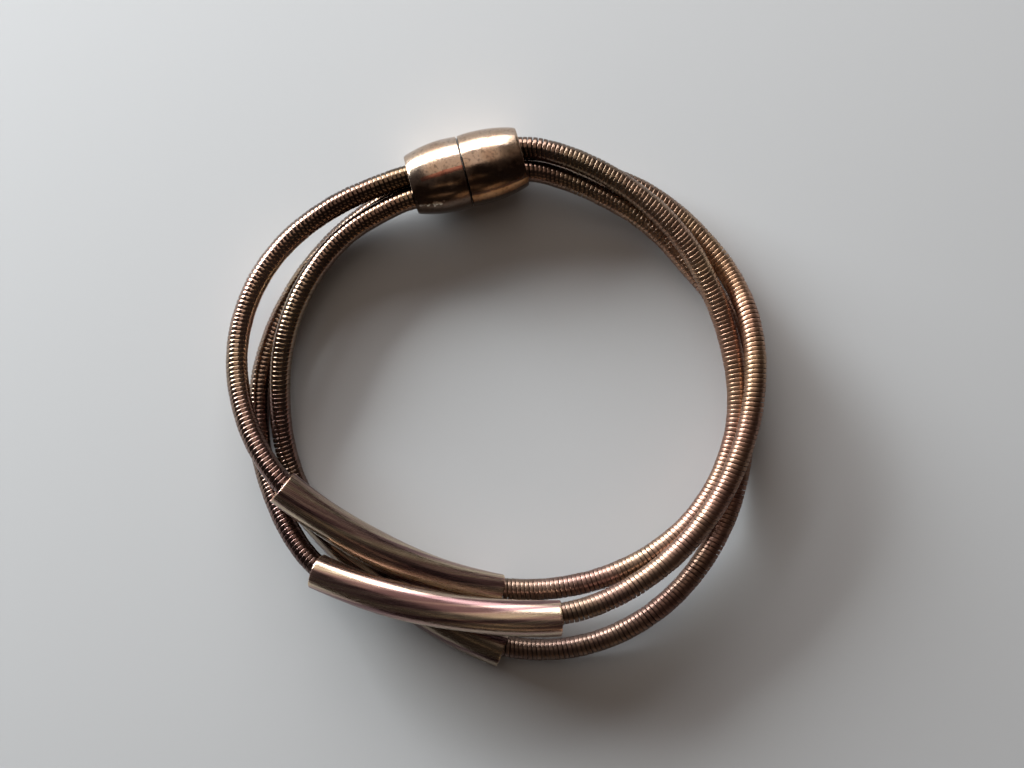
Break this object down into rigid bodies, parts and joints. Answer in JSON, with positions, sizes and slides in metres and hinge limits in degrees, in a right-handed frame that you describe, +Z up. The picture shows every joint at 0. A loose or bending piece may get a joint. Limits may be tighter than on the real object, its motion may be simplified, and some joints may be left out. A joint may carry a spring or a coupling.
{
  "type": "bracelet",
  "caption": "Intertwined strands of close-wound spring wire, each with a curved tube bead, closed by a barrel clasp; lies flat around an open wrist hollow",
  "frame": {"origin": "middle of the footprint, on the surface that the bracelet lies on", "axes": "+Z up from that surface, +Y from the tube beads towards the clasp, +X to the right seen from above"},
  "size_m": [0.071, 0.0715, 0.011],
  "materials": {
    "clasp_metal": "polished rose-bronze plating, worn and speckled",
    "wire_metal": "polished rose-bronze spring wire, dark in its grooves",
    "tube_metal": "mirror-polished rose-bronze plating, lightly scratched",
    "disc_metal": "plain nickel-plated steel"
  },
  "bodies": {
    "root": {"clasp_half_left": "clasp_metal", "clasp_half_right": "clasp_metal", "clasp_disc_left": "disc_metal", "clasp_disc_right": "disc_metal", "strand_1": "wire_metal", "strand_2": "wire_metal", "strand_3": "wire_metal", "tube_bead_1": "tube_metal", "tube_bead_2": "tube_metal", "tube_bead_3": "tube_metal"}
  },
  "joints": []
}
